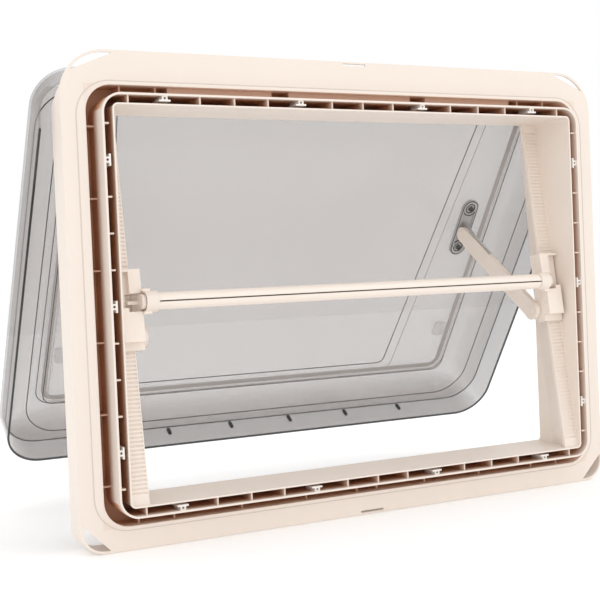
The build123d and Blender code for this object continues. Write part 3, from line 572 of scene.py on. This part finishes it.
# %% Rings on a grid
scatter, given, result = start_tree(
    "scatter",
    [
        ("Across", "NodeSocketFloat", 0.6),
        ("Up", "NodeSocketFloat", 0.07),
        ("Radius", "NodeSocketFloat", 0.008),
        ("Section", "NodeSocketFloat", 0.0006),
    ],
)
scatter.interface.new_socket("Material", in_out="INPUT", socket_type="NodeSocketMaterial")
grid = scatter.nodes.new("GeometryNodeMeshGrid")
spots = scatter.nodes.new("GeometryNodeInstanceOnPoints")
loop = scatter.nodes.new("GeometryNodeCurvePrimitiveCircle")
cord = scatter.nodes.new("GeometryNodeCurvePrimitiveCircle")
thread = scatter.nodes.new("GeometryNodeCurveToMesh")
grid.inputs["Vertices X"].default_value = 2
grid.inputs["Vertices Y"].default_value = 2
loop.inputs["Resolution"].default_value = 32
cord.inputs["Resolution"].default_value = 10
scatter.links.new(given.outputs["Across"], grid.inputs["Size X"])
scatter.links.new(given.outputs["Up"], grid.inputs["Size Y"])
scatter.links.new(given.outputs["Radius"], loop.inputs["Radius"])
scatter.links.new(given.outputs["Section"], cord.inputs["Radius"])
scatter.links.new(loop.outputs[0], thread.inputs["Curve"])
scatter.links.new(cord.outputs[0], thread.inputs["Profile Curve"])
scatter.links.new(grid.outputs[0], spots.inputs["Points"])
scatter.links.new(thread.outputs[0], spots.inputs["Instance"])
end_tree(scatter, spots.outputs[0], given, result)

# painted shade and highlight: dark rims, grooves and sockets and light rings round the screws
rings = (
    ("bracket_rims", 0.0122, 0.0007, 0.0757, "painted_dark_line"),
    ("bracket_rings", 0.0098, 0.0009, 0.0762, "edge_light"),
    ("bracket_grooves", 0.0078, 0.0007, 0.0762, "painted_dark_line"),
    ("bracket_sockets", 0.0030, 0.0012, 0.0738, "painted_dark_line"),
)
for name, radius, section, depth, finish in rings:
    values = {"Across": bracket_spread, "Up": bracket_pitch, "Radius": radius}
    values["Section"] = section
    place = sash_place(0, depth, bracket_middle)
    grown(name, scatter, values, place, "sash", finish)

# %% [markdown]
# The camera stands indoors, to the left of the window, nearly level with its middle.
# A long lens keeps the frame's sides almost parallel.  The floor and the world are
# nearly white, and three large soft lights leave only gentle shades in the channels.

# %% Floor
low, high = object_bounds()
floor_mesh = bpy.data.meshes.new("floor")
reach = 6.0
floor_z = low[2] - 0.0005
signs = ((-1, -1), (1, -1), (1, 1), (-1, 1))
corners = [(x * reach, y * reach, floor_z) for x, y in signs]
floor_mesh.from_pydata(corners, [], [(0, 1, 2, 3)])
floor = bpy.data.objects.new("floor", floor_mesh)
scene.collection.objects.link(floor)
floor_look, floor_shader, floor_coords = new_material("floor", (0.93, 0.93, 0.93), 0.8)
floor_shader.inputs["Emission Color"].default_value = (1.0, 1.0, 1.0, 1.0)
floor_shader.inputs["Emission Strength"].default_value = 0.15
floor_cloud = noise(floor_coords, 1.5, 2.0)
feed(tint(floor_cloud, (0.925, 0.925, 0.925), (0.935, 0.935, 0.935)), floor_shader, "Base Color")
floor_mesh.materials.append(floor_look)

# %% World and lights
world = bpy.data.worlds.new("studio")
world.use_nodes = True
world.node_tree.nodes["Background"].inputs["Color"].default_value = (1.0, 1.0, 1.0, 1.0)
world.node_tree.nodes["Background"].inputs["Strength"].default_value = 1.0
scene.world = world


def soft_light(name, place, aim, size, power):
    """A large square light that points at a place."""
    light = bpy.data.lights.new(name, "AREA")
    light.shape = "SQUARE"
    light.size = size
    light.energy = power
    lamp = bpy.data.objects.new(name, light)
    scene.collection.objects.link(lamp)
    lamp.location = place
    lamp.rotation_euler = (Vector(aim) - Vector(place)).to_track_quat("-Z", "Y").to_euler()
    return lamp


soft_light("key", (1.4, -2.0, 2.2), (0, 0, 0), 1.6, 9)
soft_light("fill", (-2.4, -1.2, 1.0), (0, 0, 0), 2.0, 3)
soft_light("top", (0.2, 0.8, 2.8), (0, 0.1, 0), 2.0, 8)

# %% Camera
camera_data = bpy.data.cameras.new("camera")
camera_data.sensor_width = 36.0
camera_data.lens = 67.6
camera = bpy.data.objects.new("camera", camera_data)
scene.collection.objects.link(camera)
camera_place = Vector((-0.7337, -1.2796, 0.0299))
yaw, pitch, roll = (math.radians(a) for a in (26.594, -1.361, -2.449))
ahead = Vector((math.sin(yaw) * math.cos(pitch), math.cos(yaw) * math.cos(pitch), math.sin(pitch)))
level = Vector((math.cos(yaw), -math.sin(yaw), 0))
above = level.cross(ahead)
right = math.cos(roll) * level + math.sin(roll) * above
up = -math.sin(roll) * level + math.cos(roll) * above
turned_camera = Matrix((right, up, -ahead)).transposed().to_4x4()
camera.matrix_world = Matrix.Translation(camera_place) @ turned_camera
scene.camera = camera
scene.view_settings.view_transform = "Standard"
print("camera", tuple(round(c, 3) for c in camera.location))
